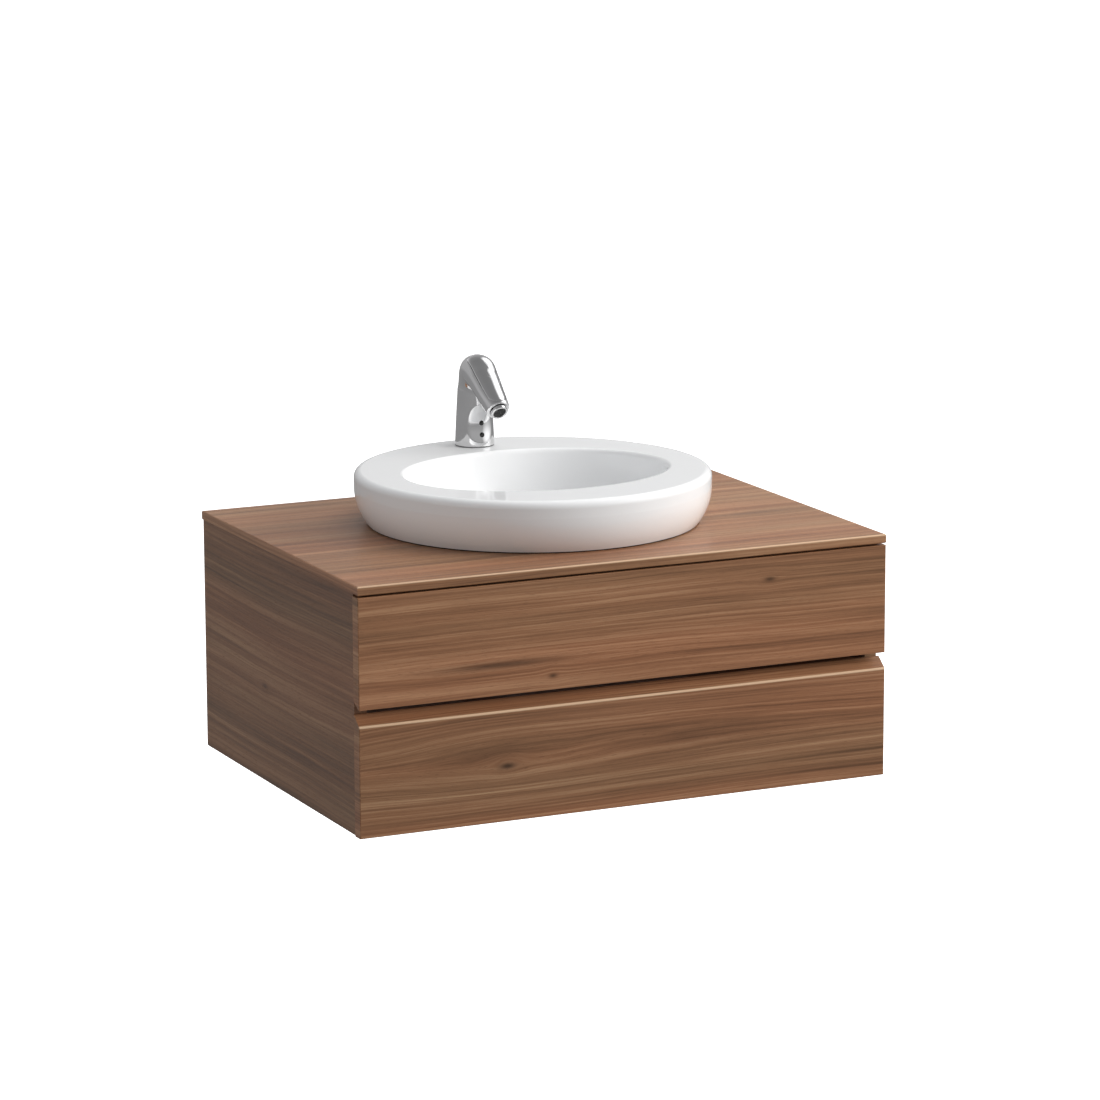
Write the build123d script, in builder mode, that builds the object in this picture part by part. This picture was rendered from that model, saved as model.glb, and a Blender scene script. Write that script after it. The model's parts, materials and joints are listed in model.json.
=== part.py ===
from build123d import *
import os
from math import cos, radians, sin, sqrt

os.makedirs("parts", exist_ok=True)

# Wall-hung washstand: a two-drawer cabinet, a round basin set into its top, and a sensor tap.
# Millimetres. X is across, -Y is the front, +Z is up. The origin is in the middle of the
# footprint, on the level of the cabinet's underside, and the wall is at +Y.

# ---------------------------------------------------------------- cabinet, driving sizes
cabinet_width = 700.0  # over the drawer fronts and the countertop
cabinet_depth = 505.0  # from the drawer fronts' face to the wall
front_height = 135.0  # each of the two drawer fronts
finger_groove = 19.5  # open height between the two fronts
top_shadow_gap = 2.5  # between the upper front and the countertop
countertop_thickness = 11.0
board = 16.0  # cabinet and front boards
side_reveal = 2.0  # the countertop and the fronts stand out past the side panels
front_gap = 3.0  # from the fronts' back to the side panels' front edges
countertop_arris = 1.0
front_arris = 0.8
lip_bevel = 9.0  # rise of the bevel behind the upper front's finger lip
grip_rise = 12.5  # the lower front's top edge slopes up by this to its back

# ---------------------------------------------------------------- drawers and runners
box_board = 12.0
box_height = 80.0
box_length = 400.0  # from the front's back
drawer_floor = 8.0
floor_raise = 10.0  # from the sides' lower edge to the floor's underside
groove_depth = 5.0
groove_play = 0.1
lower_box_clearance = 4.0  # over the bottom panel
upper_box_clearance = 9.5  # over the upper front's lower lip
runner_thickness = 13.0
runner_height = 35.0
runner_steel = 1.2
runner_play = 0.4
runner_length = 400.0
runner_setback = 3.0  # from the side panels' front edges
screw_play = 0.05

# ---------------------------------------------------------------- basin, driving sizes
basin_radius = 222.0
basin_height = 66.0  # rim over the countertop
basin_setback = 271.0  # from the fronts' face to the basin's centre
basin_foot_inset = 15.0
basin_belly = 45.0  # height of the widest level
basin_wall = 9.0
deck_thickness = 11.0
shoulder_corner = 9.0  # between the rim and the outside
hollow_corner = 3.0  # inside the deck's outer edge
seal_thickness = 1.5
seal_inset = 1.5
cutout_clearance = 7.0  # from the foot's inner edge to the countertop's cut-out
rim_side = 54.0  # flat rim beside the bowl
rim_front = 79.0  # flat rim ahead of the bowl
rim_back = 101.0  # tap deck behind the bowl
bowl_depth = 98.0  # under the rim
bowl_lip = 6.0

# ---------------------------------------------------------------- waste and trap
waste_hole_radius = 22.5
waste_radius = 20.9
waste_bore = 17.5
waste_flange_radius = 31.5
waste_flange_thickness = 2.2
plug_radius = 28.0
plug_stem_radius = 3.0
plug_stem_play = 0.1
boss_radius = 35.0
boss_height = 5.0
washer_thickness = 4.0
waste_nut_thickness = 10.0
waste_tail = 12.0  # of the waste under its nut
union_grip = 10.0  # of a coupling nut over the waste's lower end
pipe_radius = 16.0
pipe_wall = 2.0
bend_radius = 28.0
trap_radius = 25.0
trap_wall = 2.5
trap_cup_wall = 2.6
trap_clearance = 2.4  # behind the drawers
cup_depth = 12.0  # under the bottle's body
cup_bottom = 4.0
cup_grip = 12.0  # of the cup up the bottle's body
cup_corner = 5.0
trap_height = 80.0
union_length = 16.0  # each of the trap's coupling nuts
neck_height = 10.0
stop_bead_radius = 17.5  # round the outlet pipe, just behind its coupling nut
stop_bead_length = 2.0

# ---------------------------------------------------------------- tap
tap_from_edge = 46.0  # from the basin's back edge to the tap's axis
tap_radius = 25.4
tap_top = 119.0
gasket_thickness = 1.0
tap_bore = 16.0
spout_reach = 74.0
spout_drop = 55.5  # height of the outlet over the deck
spout_tilt = 38.0
spout_tip_radius = 14.5
spout_root = (-2.0, 92.0, 20.0)  # reach, height and tilt of the section inside the column
spout_root_radii = (23.8, 23.5)
spout_waist = (28.0, 90.0, 32.0)
spout_waist_radii = (21.5, 17.5)
dome_height = 49.0
column_taper = 0.8
facet_level = 36.0  # middle of the oval facet on the column
facet_radii = (18.0, 27.0)
facet_reach = 20.5  # from the tap's axis to the facet
slope_tilt = 35.0  # of the cover on the spout
cover_thickness = 2.2
cover_top_radius = 16.0
cover_tip_radius = 9.5
cover_play = 0.25
cover_bed = 0.1  # adhesive under the cover
aerator_radius = 10.8
aerator_bore = 8.2
aerator_stand = 5.0
aerator_depth = 8.0  # of its seat in the spout's tip
window_radius = 3.0
window_levels = (16.0, 31.0)
tap_hole_radius = 17.5
stud_radius = 12.0
hose_thread_radius = 4.6
hose_thread_length = 22.0
stud_passage_radius = 6.5  # over the thread
stud_tail = 29.0  # under the deck
stud_head = 4.5  # in the tap's bore

# ---------------------------------------------------------------- derived levels and planes
carcass_top = 2 * front_height + finger_groove + top_shadow_gap
top_level = carcass_top + countertop_thickness
front_face = -cabinet_depth / 2
front_back = front_face + board
carcass_front = front_back + front_gap
wall_plane = cabinet_depth / 2
half_width = cabinet_width / 2
side_outer = half_width - side_reveal
side_inner = side_outer - board
groove_bottom = front_height
groove_top = front_height + finger_groove
upper_front_bottom = groove_top
box_half_width = side_inner - runner_thickness
box_inner = box_half_width - box_board
box_back = front_back + box_length
lower_box_level = board + lower_box_clearance
upper_box_level = upper_front_bottom + upper_box_clearance
rim_level = top_level + basin_height
deck_underside = rim_level - deck_thickness
basin_y = front_face + basin_setback
bowl_half_width = basin_radius - rim_side
bowl_half_depth = basin_radius - (rim_front + rim_back) / 2
bowl_y = basin_y - (rim_back - rim_front) / 2
foot_radius = basin_radius - basin_foot_inset
belly_span = basin_belly - seal_thickness
belly_arc = (basin_foot_inset**2 + belly_span**2) / (2 * basin_foot_inset)
belly_centre = basin_radius - belly_arc
foot_inner_radius = belly_centre + sqrt((belly_arc - basin_wall) ** 2 - belly_span**2)
cutout_radius = foot_inner_radius - cutout_clearance
bowl_floor = rim_level - bowl_depth
bowl_squeeze = bowl_half_depth / bowl_half_width
boss_bottom = bowl_floor - basin_wall - boss_height
waste_seat = bowl_floor - waste_flange_thickness - 0.3
washer_bottom = boss_bottom - washer_thickness
waste_nut_bottom = washer_bottom - waste_nut_thickness
waste_end = waste_nut_bottom - waste_tail
pipe_level = waste_end - (union_length - union_grip) - bend_radius - 1.0
cup_radius = trap_radius + trap_cup_wall
trap_y = box_back + trap_clearance + cup_radius
neck_radius = pipe_radius + 4.0
trap_top = pipe_level - bend_radius - union_length - 2.0
trap_bottom = trap_top - trap_height
outlet_level = trap_top - neck_radius - 4.0
tap_y = basin_y + basin_radius - tap_from_edge
tap_base = rim_level + gasket_thickness


def block(x_span, y_span, z_span, mode=Mode.ADD):
    """A box between six faces, in the part that is being built."""
    middle = [(low + high) / 2 for low, high in (x_span, y_span, z_span)]
    size = [high - low for low, high in (x_span, y_span, z_span)]
    with Locations(tuple(middle)):
        Box(*size, mode=mode)


def rod(start, direction, radius, length, mode=Mode.ADD):
    """A round bar from a start point along a direction, in the part that is being built."""
    with BuildSketch(Plane(origin=start, z_dir=direction)) as section:
        Circle(radius)
    extrude(section.sketch, amount=length, mode=mode)


def spin(points, centre_y, mode=Mode.ADD):
    """A turned shape: (radius, height) points about a vertical axis at x = 0."""
    with BuildSketch(Plane(origin=(0, centre_y, 0), x_dir=(1, 0, 0), z_dir=(0, -1, 0))) as section:
        with BuildLine():
            Polyline(*points, close=True)
        make_face()
    axis = Axis((0, centre_y, 0), (0, 0, 1))
    revolve(section.sketch, axis=axis, revolution_arc=360, mode=mode)


def save(piece, name):
    """Label a finished piece and write it."""
    piece.part.label = name
    export_step(piece.part, f"parts/{name}.step")


def mirrored(side, low, high):
    """A span on the left (-1) or the right (+1) side, given as on the right."""
    return (low, high) if side > 0 else (-high, -low)


sides = {"left": -1, "right": 1}

# ================================================================ dowels and screws
dowel_radius = 4.0
dowel_length = 30.0
dowel_in_side = 10.0
dowel_play = 0.05
rail_top = groove_bottom + 10.5
rail_bottom = lower_box_level + box_height + 5.0
rail_lip = 2.5
stretcher_depth = 60.0
hanging_rail_height = 80.0
hanging_rail_front = wall_plane - board

bottom_dowels = [(carcass_front + share * (wall_plane - carcass_front), board / 2) for share in (0.1, 0.48, 0.85)]
grip_dowels = [(carcass_front + board / 2, rail_bottom + 10), (carcass_front + board / 2, rail_top - 10)]
stretcher_dowels = [(carcass_front + inset, carcass_top - board / 2) for inset in (15, stretcher_depth - 15)]
hanging_dowels = [(wall_plane - board / 2, carcass_top - inset) for inset in (10, hanging_rail_height - 20)]
all_dowels = bottom_dowels + grip_dowels + stretcher_dowels + hanging_dowels


def dowel_holes(positions):
    """Blind holes for dowels in both ends of a rail that is being built."""
    reach = dowel_length - dowel_in_side + 0.3
    for side in sides.values():
        for y, z in positions:
            rod((side * side_inner, y, z), (-side, 0, 0), dowel_radius + dowel_play, reach, Mode.SUBTRACT)


# ================================================================ cabinet
for side_name, side in sides.items():
    with BuildPart() as side_panel:
        block(mirrored(side, side_inner, side_outer), (carcass_front, wall_plane), (0, carcass_top))
        for y, z in all_dowels:
            start = (side * side_inner, y, z)
            rod(start, (side, 0, 0), dowel_radius + dowel_play, dowel_in_side + 0.3, Mode.SUBTRACT)
    save(side_panel, f"side_panel_{side_name}")

with BuildPart() as bottom_panel:
    block((-side_inner, side_inner), (carcass_front, wall_plane), (0, board))
    dowel_holes(bottom_dowels)
save(bottom_panel, "bottom_panel")

with BuildPart() as grip_rail:
    block((-side_inner, side_inner), (carcass_front, carcass_front + board), (rail_bottom, rail_top))
    block((-side_outer, side_outer), (carcass_front - rail_lip, carcass_front), (rail_top - 26, rail_top))
    dowel_holes(grip_dowels)
save(grip_rail, "grip_rail")

top_screw_x = (-250.0, -85.0, 85.0, 250.0)
top_screw_y = carcass_front + stretcher_depth / 2
top_screw_radius = 2.25
top_screw_head = 4.5
top_screw_bite = 7.0

with BuildPart() as front_stretcher:
    stretcher_span = (carcass_front, carcass_front + stretcher_depth)
    block((-side_inner, side_inner), stretcher_span, (carcass_top - board, carcass_top))
    dowel_holes(stretcher_dowels)
    for x in top_screw_x:
        start = (x, top_screw_y, carcass_top - board)
        rod(start, (0, 0, 1), top_screw_radius + screw_play, board, Mode.SUBTRACT)
save(front_stretcher, "front_stretcher")

wall_bolt_x = side_inner - 52.0
wall_bolt_level = carcass_top - 30.0
wall_bolt_radius = 5.5
bracket_size = 50.0
bracket_steel = 3.0

with BuildPart() as hanging_rail:
    rail_levels = (carcass_top - hanging_rail_height, carcass_top)
    block((-side_inner, side_inner), (hanging_rail_front, wall_plane), rail_levels)
    dowel_holes(hanging_dowels)
    for side in sides.values():
        start = (side * wall_bolt_x, hanging_rail_front, wall_bolt_level)
        rod(start, (0, 1, 0), wall_bolt_radius, board, Mode.SUBTRACT)
save(hanging_rail, "hanging_rail")

with BuildPart() as hanging_brackets:
    for side in sides.values():
        x_span = mirrored(side, wall_bolt_x - bracket_size / 2, wall_bolt_x + bracket_size / 2)
        y_span = (hanging_rail_front - bracket_steel, hanging_rail_front)
        z_span = (wall_bolt_level - bracket_size / 2, wall_bolt_level + bracket_size / 2)
        block(x_span, y_span, z_span)
        start = (side * wall_bolt_x, hanging_rail_front - bracket_steel, wall_bolt_level)
        rod(start, (0, 1, 0), wall_bolt_radius, bracket_steel, Mode.SUBTRACT)
save(hanging_brackets, "hanging_brackets")

with BuildPart() as countertop:
    block((-half_width, half_width), (front_face, wall_plane), (carcass_top, top_level))
    chamfer(countertop.edges().filter_by(Axis.Z, reverse=True), countertop_arris)
    rod((0, basin_y, carcass_top), (0, 0, 1), cutout_radius, countertop_thickness, Mode.SUBTRACT)
    for x in top_screw_x:
        start = (x, top_screw_y, carcass_top)
        rod(start, (0, 0, 1), top_screw_radius + screw_play, top_screw_bite + 0.3, Mode.SUBTRACT)
save(countertop, "countertop")

with BuildPart() as cabinet_screws:
    for x in top_screw_x:
        seat = (x, top_screw_y, carcass_top - board)
        rod(seat, (0, 0, 1), top_screw_radius, board + top_screw_bite)
        rod(seat, (0, 0, -1), top_screw_head, 3.0)
save(cabinet_screws, "cabinet_screws")

with BuildPart() as carcass_dowels:
    for side in sides.values():
        for y, z in all_dowels:
            start = (side * (side_inner + dowel_in_side), y, z)
            rod(start, (-side, 0, 0), dowel_radius, dowel_length)
save(carcass_dowels, "carcass_dowels")

# ================================================================ drawers
slot_half_width = 56.0
slot_lead = 50.0  # from the waste's axis to the front of the drawer's slot
slot_corner = 8.0
guard_wall = 3.0
slot_front = bowl_y - slot_lead
front_screw_x = 250.0
front_screw_radius = 2.0
front_screw_head = 4.0
front_screw_bite = 8.0
box_front_back = front_back + box_board


def front_screw_points(level):
    """Where the four screws of a drawer's front cross the box front's back face."""
    heights = (level + 22.0, level + box_height - 22.0)
    return [(side * front_screw_x, box_front_back, z) for side in sides.values() for z in heights]


def slot_outline(grow):
    """The drain slot in the upper drawer, open at the drawer's back, widened by a wall."""
    half = slot_half_width + grow
    with BuildSketch() as outline:
        with BuildLine():
            Polyline((-half, box_back), (-half, slot_front - grow), (half, slot_front - grow), (half, box_back), close=True)
        make_face()
        fillet(outline.vertices().group_by(Axis.Y)[0], slot_corner + grow)
    return outline.sketch


def drawer_front(name, bottom, lip_at_top, level):
    """A front board whose finger edge slopes: up to its back at the top, or undercut at the bottom."""
    top = bottom + front_height
    lip, back_edge = (top, top + grip_rise) if lip_at_top else (bottom, bottom + lip_bevel)
    far = bottom if lip_at_top else top
    with BuildPart() as front:
        with BuildSketch(Plane.YZ.offset(-half_width)):
            with BuildLine():
                Polyline((front_face, far), (front_face, lip), (front_back, back_edge), (front_back, far), close=True)
            make_face()
        extrude(amount=cabinet_width)
        outer_edges = front.faces().sort_by(Axis.Y)[0].edges()
        chamfer(outer_edges, front_arris)
        for x, y, z in front_screw_points(level):
            start = (x, front_back, z)
            rod(start, (0, -1, 0), front_screw_radius + screw_play, front_screw_bite + 0.3, Mode.SUBTRACT)
    save(front, f"{name}_drawer_front")


for name, level, bottom in (("upper", upper_box_level, upper_front_bottom), ("lower", lower_box_level, 0.0)):
    drawer_front(name, bottom, name == "lower", level)
    floor_low = level + floor_raise
    floor_high = floor_low + drawer_floor
    groove_levels = (floor_low - groove_play, floor_high + groove_play)

    with BuildPart() as box_front:
        block((-box_inner, box_inner), (front_back, box_front_back), (level, level + box_height))
        groove_span = (box_front_back - groove_depth - groove_play, box_front_back)
        block((-box_inner, box_inner), groove_span, groove_levels, Mode.SUBTRACT)
        for x, y, z in front_screw_points(level):
            rod((x, y, z), (0, -1, 0), front_screw_radius + screw_play, box_board, Mode.SUBTRACT)
    save(box_front, f"{name}_drawer_box_front")

    for side_name, side in sides.items():
        with BuildPart() as box_side:
            block(mirrored(side, box_inner, box_half_width), (front_back, box_back), (level, level + box_height))
            groove_x = mirrored(side, box_inner, box_inner + groove_depth + groove_play)
            groove_y = (box_front_back - groove_depth - groove_play, box_back)
            block(groove_x, groove_y, groove_levels, Mode.SUBTRACT)
        save(box_side, f"{name}_drawer_side_{side_name}")

    with BuildPart() as floor_panel:
        floor_half = box_inner + groove_depth
        block((-floor_half, floor_half), (box_front_back - groove_depth, box_back), (floor_low, floor_high))
        if name == "upper":
            extrude(Pos(0, 0, floor_low) * slot_outline(0.0), amount=drawer_floor, mode=Mode.SUBTRACT)
    save(floor_panel, f"{name}_drawer_bottom")

    back_y = (box_back - box_board, box_back)
    back_z = (floor_high, level + box_height)
    if name == "upper":
        for side_name, side in sides.items():
            with BuildPart() as box_back_half:
                block(mirrored(side, slot_half_width + guard_wall, box_inner), back_y, back_z)
            save(box_back_half, f"upper_drawer_back_{side_name}")
        with BuildPart() as drain_guard:
            extrude(Pos(0, 0, floor_high) * slot_outline(guard_wall), amount=back_z[1] - floor_high)
            extrude(Pos(0, 0, floor_high) * slot_outline(0.0), amount=back_z[1] - floor_high, mode=Mode.SUBTRACT)
        save(drain_guard, "upper_drawer_drain_guard")
    else:
        with BuildPart() as lower_back:
            block((-box_inner, box_inner), back_y, back_z)
        save(lower_back, "lower_drawer_back")

    with BuildPart() as front_screws:
        for x, y, z in front_screw_points(level):
            rod((x, y, z), (0, -1, 0), front_screw_radius, box_board + front_screw_bite)
            rod((x, y, z), (0, 1, 0), front_screw_head, 2.5)
    save(front_screws, f"{name}_front_screws")

    # Runner: three nested steel channels on each side. Each opens towards the drawer.
    centre = level + box_height / 2
    steps = runner_steel + runner_play
    runner_front = carcass_front + runner_setback
    for side_name, side in sides.items():
        members = {
            "channel": (0.0, runner_height / 2, 0.0),
            "middle": (steps, runner_height / 2 - steps, 4.0),
            "slide": (2 * steps, runner_height / 2 - 2 * steps, 6.0),
        }
        for member, (inset, half, shorter) in members.items():
            y_span = (runner_front, runner_front + runner_length - shorter)
            levels = (centre - half, centre + half)
            inner_levels = (levels[0] + runner_steel, levels[1] - runner_steel)
            wall_side = side_inner - inset
            drawer_side = box_half_width if member == "slide" else box_half_width + 1.0
            with BuildPart() as runner:
                block(mirrored(side, drawer_side, wall_side), y_span, levels)
                if member == "slide":
                    hollow = (drawer_side + runner_steel, wall_side)
                else:
                    hollow = (drawer_side, wall_side - runner_steel)
                block(mirrored(side, *hollow), y_span, inner_levels, Mode.SUBTRACT)
            save(runner, f"{name}_runner_{member}_{side_name}")

# ================================================================ basin
turn_plane = Plane(origin=(0, basin_y, 0), x_dir=(1, 0, 0), z_dir=(0, -1, 0))
bowl_plane = Plane(origin=(0, 0, 0), x_dir=(1, 0, 0), z_dir=(0, -1, 0))
seat_level = top_level + seal_thickness
belly_level = top_level + basin_belly
basin_axis = Axis((0, basin_y, 0), (0, 0, 1))


def basin_skin(inset, bottom, top, corner):
    """The basin's turned outside, drawn in by an inset and closed between two levels."""
    radius = belly_arc - inset
    arc_end = min(belly_level, top - corner)
    arc_middle = (bottom + arc_end) / 2

    def skin_radius(level):
        return belly_centre + sqrt(radius**2 - (belly_level - level) ** 2)

    edge = skin_radius(arc_end)
    with BuildPart() as skin:
        with BuildSketch(turn_plane):
            with BuildLine():
                Line((0, bottom), (skin_radius(bottom), bottom))
                ThreePointArc((skin_radius(bottom), bottom), (skin_radius(arc_middle), arc_middle), (edge, arc_end))
                if top - corner > arc_end:
                    Line((edge, arc_end), (edge, top - corner))
                RadiusArc((edge, top - corner), (edge - corner, top), -corner)
                Line((edge - corner, top), (0, top))
                Line((0, top), (0, bottom))
            make_face()
        revolve(axis=basin_axis)
    return skin.part


def bowl_form(wall, turn, top):
    """The bowl's inside (wall 0) or outside, turned up to a level and then pressed to an oval."""
    radius = bowl_half_width + wall
    low = bowl_floor - wall
    drain_flat = boss_radius + wall
    mouth = radius + bowl_lip
    with BuildPart() as form:
        with BuildSketch(bowl_plane):
            with BuildLine():
                Line((0, low), (drain_flat, low))
                Bezier((drain_flat, low), (radius * 0.72, low), (radius, low + 28), (radius, turn))
                if top > rim_level:
                    RadiusArc((radius, turn), (mouth, rim_level), bowl_lip)
                    Line((mouth, rim_level), (mouth, top))
                    Line((mouth, top), (0, top))
                else:
                    Line((radius, turn), (0, turn))
                Line((0, turn if top <= rim_level else top), (0, low))
            make_face()
        revolve(axis=Axis.Z)
    return Pos(0, bowl_y, 0) * scale(form.part, by=(1, bowl_squeeze, 1))


basin_outside = basin_skin(0.0, seat_level, rim_level, shoulder_corner)
basin_hollow = basin_skin(basin_wall, seat_level, deck_underside, hollow_corner)
bowl_outside = bowl_form(basin_wall, deck_underside + 2.0, deck_underside + 2.0)
bowl_inside = bowl_form(0.0, rim_level - bowl_lip, rim_level + 2.0)

with BuildPart() as basin:
    add(basin_outside)
    add(basin_hollow, mode=Mode.SUBTRACT)
    add(bowl_outside)
    rod((0, bowl_y, boss_bottom), (0, 0, 1), boss_radius, boss_height + 2.0)
    add(bowl_inside, mode=Mode.SUBTRACT)
    rod((0, bowl_y, waste_seat), (0, 0, 1), waste_flange_radius + 0.5, bowl_depth, Mode.SUBTRACT)
    rod((0, bowl_y, boss_bottom - 1), (0, 0, 1), waste_hole_radius, bowl_depth, Mode.SUBTRACT)
    rod((0, tap_y, deck_underside - 1), (0, 0, 1), tap_hole_radius, deck_thickness + 2, Mode.SUBTRACT)
save(basin, "basin")

with BuildPart() as basin_seal:
    inner = foot_inner_radius + seal_inset
    outer = foot_radius - seal_inset
    spin([(inner, top_level), (outer, top_level), (outer, seat_level), (inner, seat_level)], basin_y)
save(basin_seal, "basin_seal")

# ================================================================ waste
flange_top = waste_seat + waste_flange_thickness
with BuildPart() as drain_flange:
    spin(
        [
            (waste_bore, flange_top - 0.6),
            (waste_bore + 0.6, flange_top),
            (waste_flange_radius - 1.0, flange_top),
            (waste_flange_radius, flange_top - 1.0),
            (waste_flange_radius, waste_seat),
            (waste_radius, waste_seat),
            (waste_radius, waste_end),
            (waste_bore, waste_end),
        ],
        bowl_y,
    )
save(drain_flange, "drain_flange")

plug_rest = flange_top + 0.3
plug_stem_end = waste_end + 3.0
with BuildPart() as drain_plug:
    spin(
        [
            (0, plug_stem_end),
            (plug_stem_radius, plug_stem_end),
            (plug_stem_radius, plug_rest),
            (plug_radius, plug_rest),
            (plug_radius, plug_rest + 1.8),
            (plug_radius - 1.5, plug_rest + 3.2),
            (plug_radius * 0.6, plug_rest + 4.6),
            (0, plug_rest + 5.2),
        ],
        bowl_y,
    )
save(drain_plug, "drain_plug")

guide_radius = plug_stem_radius + plug_stem_play
guide_low = waste_end + 8.0
guide_high = waste_seat - 6.0
with BuildPart() as drain_cartridge:
    rod((0, bowl_y, guide_low), (0, 0, 1), waste_bore, 8.0)
    rod((0, bowl_y, guide_low), (0, 0, 1), waste_bore - 2.0, 8.0, Mode.SUBTRACT)
    rod((0, bowl_y, guide_low), (0, 0, 1), guide_radius + 2.2, guide_high - guide_low)
    with BuildSketch(Plane.XY.offset(guide_low)) as spokes:
        with Locations((0, bowl_y)):
            with PolarLocations(0, 3):
                Rectangle(waste_bore - 1.0, 2.5, align=(Align.MIN, Align.CENTER))
    extrude(spokes.sketch, amount=6.0)
    rod((0, bowl_y, guide_low - 1), (0, 0, 1), guide_radius, guide_high - guide_low + 2, Mode.SUBTRACT)
save(drain_cartridge, "drain_cartridge")

with BuildPart() as drain_washer:
    inner = waste_radius + 0.1
    outer = boss_radius - 2.0
    spin([(inner, washer_bottom), (outer, washer_bottom), (outer, boss_bottom), (inner, boss_bottom)], bowl_y)
save(drain_washer, "drain_washer")

with BuildPart() as drain_nut:
    with BuildSketch(Plane.XY.offset(waste_nut_bottom)):
        with Locations((0, bowl_y)):
            RegularPolygon(boss_radius - 4.0, 6)
            Circle(waste_radius + 0.1, mode=Mode.SUBTRACT)
    extrude(amount=washer_bottom - waste_nut_bottom)
save(drain_nut, "drain_nut")

# ================================================================ trap
collar_radius = waste_radius - 0.9
collar_thickness = 3.0
dip_end = trap_bottom + 18.0
with BuildPart() as trap_inlet_pipe:
    with BuildLine(Plane.YZ) as route:
        FilletPolyline(
            (bowl_y, waste_end),
            (bowl_y, pipe_level),
            (trap_y, pipe_level),
            (trap_y, dip_end),
            radius=bend_radius,
        )
    with BuildSketch(Plane(origin=(0, bowl_y, waste_end), z_dir=(0, 0, -1))) as pipe_section:
        Circle(pipe_radius)
    sweep(pipe_section.sketch, path=route.line)
    rod((0, bowl_y, waste_end), (0, 0, -1), collar_radius, collar_thickness)
    with BuildSketch(Plane(origin=(0, bowl_y, waste_end), z_dir=(0, 0, -1))) as bore_section:
        Circle(pipe_radius - pipe_wall)
    sweep(bore_section.sketch, path=route.line, mode=Mode.SUBTRACT)
save(trap_inlet_pipe, "trap_inlet_pipe")

nut_radius = neck_radius + 4.5
stub_end = trap_y + trap_radius + 8.0
with BuildPart() as trap_body:
    rod((0, trap_y, trap_bottom), (0, 0, 1), trap_radius, trap_height)
    rod((0, trap_y, trap_top), (0, 0, 1), neck_radius, neck_height)
    rod((0, trap_y, outlet_level), (0, 1, 0), neck_radius, stub_end - trap_y)
    rod((0, trap_y, trap_bottom), (0, 0, 1), trap_radius - trap_wall, trap_height - trap_wall, Mode.SUBTRACT)
    rod((0, trap_y, trap_bottom), (0, 0, 1), pipe_radius + 0.1, 2 * trap_height, Mode.SUBTRACT)
    rod((0, trap_y, outlet_level), (0, 1, 0), pipe_radius + 0.1, stub_end - trap_y, Mode.SUBTRACT)
save(trap_body, "trap_body")

with BuildPart() as trap_cup:
    cup_floor = trap_bottom - cup_depth
    rod((0, trap_y, cup_floor - cup_bottom), (0, 0, 1), cup_radius, cup_bottom + cup_depth + cup_grip)
    fillet(trap_cup.faces().sort_by(Axis.Z)[0].edges(), cup_corner)
    rod((0, trap_y, cup_floor), (0, 0, 1), trap_radius - trap_wall, cup_depth, Mode.SUBTRACT)
    rod((0, trap_y, trap_bottom), (0, 0, 1), trap_radius + 0.1, cup_grip + 1.0, Mode.SUBTRACT)
save(trap_cup, "trap_cup")

outlet_start = trap_y + trap_radius - 1.0
outlet_union_start = stub_end - 7.0
bead_start = outlet_union_start + union_length + 0.5
with BuildPart() as trap_outlet_pipe:
    rod((0, outlet_start, outlet_level), (0, 1, 0), pipe_radius, wall_plane - outlet_start)
    rod((0, bead_start, outlet_level), (0, 1, 0), stop_bead_radius, stop_bead_length)
    rod((0, outlet_start, outlet_level), (0, 1, 0), pipe_radius - pipe_wall, wall_plane - outlet_start, Mode.SUBTRACT)
save(trap_outlet_pipe, "trap_outlet_pipe")


def coupling_nut(start, direction, hub_radius, mouth_radius):
    """A union nut: it grips a threaded neck and closes down onto the pipe with a mouth."""
    rod(start, direction, nut_radius, union_length)
    rod(start, direction, hub_radius + 0.1, union_length - 3.0, Mode.SUBTRACT)
    rod(start, direction, mouth_radius + 0.1, union_length, Mode.SUBTRACT)


with BuildPart() as waste_union:
    coupling_nut((0, bowl_y, waste_end + union_grip), (0, 0, -1), waste_radius, pipe_radius)
with BuildPart() as trap_top_union:
    coupling_nut((0, trap_y, trap_top + 1.0), (0, 0, 1), neck_radius, pipe_radius)
with BuildPart() as outlet_union:
    coupling_nut((0, outlet_union_start, outlet_level), (0, 1, 0), neck_radius, pipe_radius)
with BuildPart() as trap_coupling_nuts:
    add(waste_union.part)
    add(trap_top_union.part)
    add(outlet_union.part)
save(trap_coupling_nuts, "trap_coupling_nuts")

# ================================================================ tap
def tap_point(reach, height):
    """A point in the tap's middle plane: reach to the front of its axis, height over the deck."""
    return (0, tap_y - reach, rim_level + height)


def leaning_plane(reach, height, tilt):
    """A plane across the spout, whose normal points forward and down by a tilt in degrees."""
    normal = (0, -cos(radians(tilt)), -sin(radians(tilt)))
    return Plane(origin=tap_point(reach, height), x_dir=(1, 0, 0), z_dir=normal)


tip_plane = leaning_plane(spout_reach, spout_drop, spout_tilt)


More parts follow.
